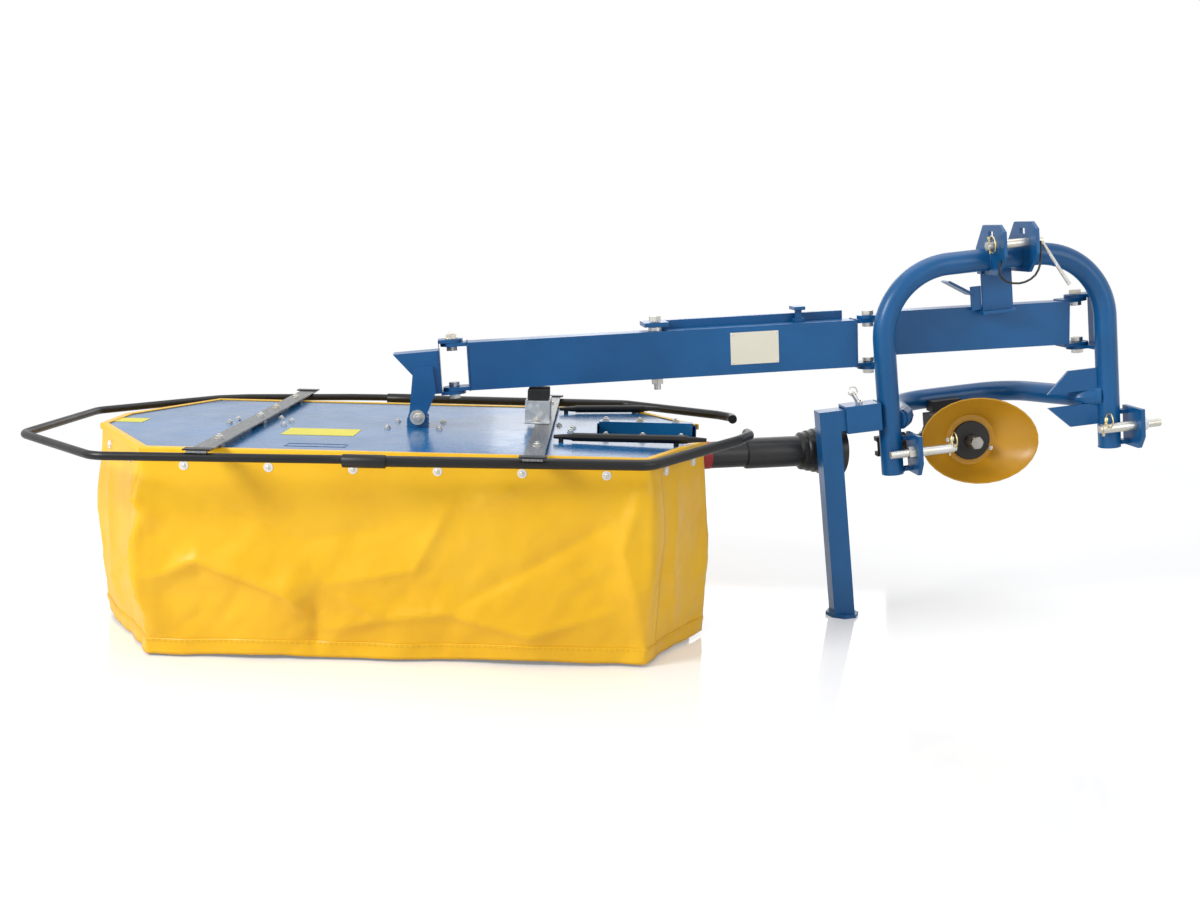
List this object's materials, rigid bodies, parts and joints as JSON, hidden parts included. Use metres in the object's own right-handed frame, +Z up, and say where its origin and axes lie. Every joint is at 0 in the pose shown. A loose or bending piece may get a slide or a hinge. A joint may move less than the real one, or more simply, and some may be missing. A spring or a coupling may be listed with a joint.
{
  "type": "rear mounted drum mower",
  "caption": "Offset drum mower with a canvas skirt, hinged carrying arm, tubular three-point hitch frame and parking stand",
  "frame": {"origin": "centre of the footprint, on the ground", "axes": "+X along the cutting width towards the hitch, +Y away from the tractor, +Z up"},
  "size_m": [3.1314, 1.2216, 1.1484],
  "materials": {
    "blue_paint": "glossy blue enamel",
    "deck_paint": "glossy blue enamel on sheet steel",
    "canvas": "yellow coated canvas",
    "guard_plastic": "ochre moulded plastic",
    "black_paint": "black enamel",
    "grey_strap": "dull grey steel",
    "zinc": "zinc plate",
    "cast": "black painted casting",
    "rubber": "matt black rubber",
    "drum_paint": "yellow enamel",
    "shaft_plastic": "black moulded guard",
    "cord": "black plastic cord"
  },
  "bodies": {
    "deck_frame": {"back_skirt": "canvas", "deck": "deck_paint", "far_brace": "black_paint", "far_guard": "black_paint", "far_rail": "deck_paint", "front_skirt": "canvas", "gear_case": "cast", "left_guard": "black_paint", "left_skirt": "canvas", "left_strap": "grey_strap", "near_brace": "black_paint", "near_guard": "black_paint", "near_rail": "deck_paint", "pivot_bolt": "zinc", "pivot_lugs": "deck_paint", "rest_block": "rubber", "rest_bracket": "zinc", "right_back_skirt": "canvas", "right_front_skirt": "canvas", "right_strap": "grey_strap"},
    "arm": {"main_arm": "blue_paint", "pivot_head": "blue_paint", "head_lower_bolt": "zinc", "head_upper_bolt": "zinc", "safety_link": "blue_paint", "link_bolt": "zinc", "link_lock": "blue_paint"},
    "left_rotor": {"left_drum": "drum_paint"},
    "right_rotor": {"right_drum": "drum_paint"},
    "left_shoe": {"left_saucer": "zinc"},
    "right_shoe": {"right_saucer": "zinc"},
    "shaft": {"drive_shaft": "shaft_plastic"},
    "input": {"input_stub": "zinc"},
    "output": {"output_yoke": "cast"},
    "stand": {"stand_leg": "blue_paint"},
    "hitch_frame": {"arm_lower_bolt": "zinc", "arm_upper_bolt": "zinc", "beam_lower_bolt": "zinc", "beam_upper_bolt": "zinc", "bow_tube": "blue_paint", "cross_beam": "blue_paint", "gearbox": "cast", "hinge_plate": "blue_paint", "hoop": "blue_paint", "latch_lever": "blue_paint", "left_clevis_plate": "blue_paint", "left_link_pin": "zinc", "left_link_plate": "blue_paint", "mast_strap": "blue_paint", "pin_lanyard": "cord", "right_clevis_plate": "blue_paint", "right_link_pin": "zinc", "right_link_plate": "blue_paint", "shaft_guard_cone": "guard_plastic", "stand_pin": "zinc", "stand_socket": "blue_paint", "top_link_pin": "zinc"}
  },
  "joints": [
    {"name": "arm_swing", "type": "hinge", "parent": "hitch_frame", "child": "arm", "pos_m": [0.71999, 0.15205, 0.79373], "axis": [0.0728, 0.0077, -0.9973], "range_deg": [0, 90]},
    {"name": "deck_tilt", "type": "hinge", "parent": "arm", "child": "deck_frame", "pos_m": [-0.5717, 0.01629, 0.566], "axis": [-0.1045, 0.9945, 0], "range_deg": [0, 15]},
    {"name": "shaft_pitch", "type": "hinge", "parent": "arm", "child": "shaft", "pos_m": [0.74002, 0.18432, 0.47659], "axis": [0.1045, -0.9945, 0], "range_deg": [0, 8.25]},
    {"name": "right_rotor_spin", "type": "hinge", "parent": "deck_frame", "child": "right_rotor", "pos_m": [-0.2117, -0.00571, 0.2], "axis": [0, 0, 1], "continuous": true},
    {"name": "left_rotor_spin", "type": "hinge", "parent": "deck_frame", "child": "left_rotor", "pos_m": [-1.0137, -0.00571, 0.2], "axis": [0, 0, 1], "continuous": true},
    {"name": "right_shoe_spin", "type": "hinge", "parent": "deck_frame", "child": "right_shoe", "pos_m": [-0.2117, -0.00571, 0.03], "axis": [0, 0, 1], "continuous": true},
    {"name": "left_shoe_spin", "type": "hinge", "parent": "deck_frame", "child": "left_shoe", "pos_m": [-1.0137, -0.00571, 0.03], "axis": [0, 0, 1], "continuous": true},
    {"name": "input_spin", "type": "hinge", "parent": "hitch_frame", "child": "input", "pos_m": [1.03745, 0.10497, 0.51296], "axis": [0.1045, -0.9945, 0], "continuous": true},
    {"name": "output_spin", "type": "hinge", "parent": "hitch_frame", "child": "output", "pos_m": [0.84547, 0.1954, 0.48939], "axis": [-0.9862, -0.1037, -0.1288], "continuous": true},
    {"name": "stand_slide", "type": "slide", "parent": "hitch_frame", "child": "stand", "axis": [-0.9862, -0.1037, -0.1288], "range_m": [0, 0.06]}
  ],
  "couplings": [
    {"joint": "shaft_pitch", "follows": "deck_tilt", "ratio": 0.55},
    {"joint": "left_rotor_spin", "follows": "right_rotor_spin", "ratio": -1},
    {"joint": "input_spin", "follows": "right_rotor_spin", "ratio": 0.35},
    {"joint": "output_spin", "follows": "right_rotor_spin", "ratio": 0.35}
  ]
}
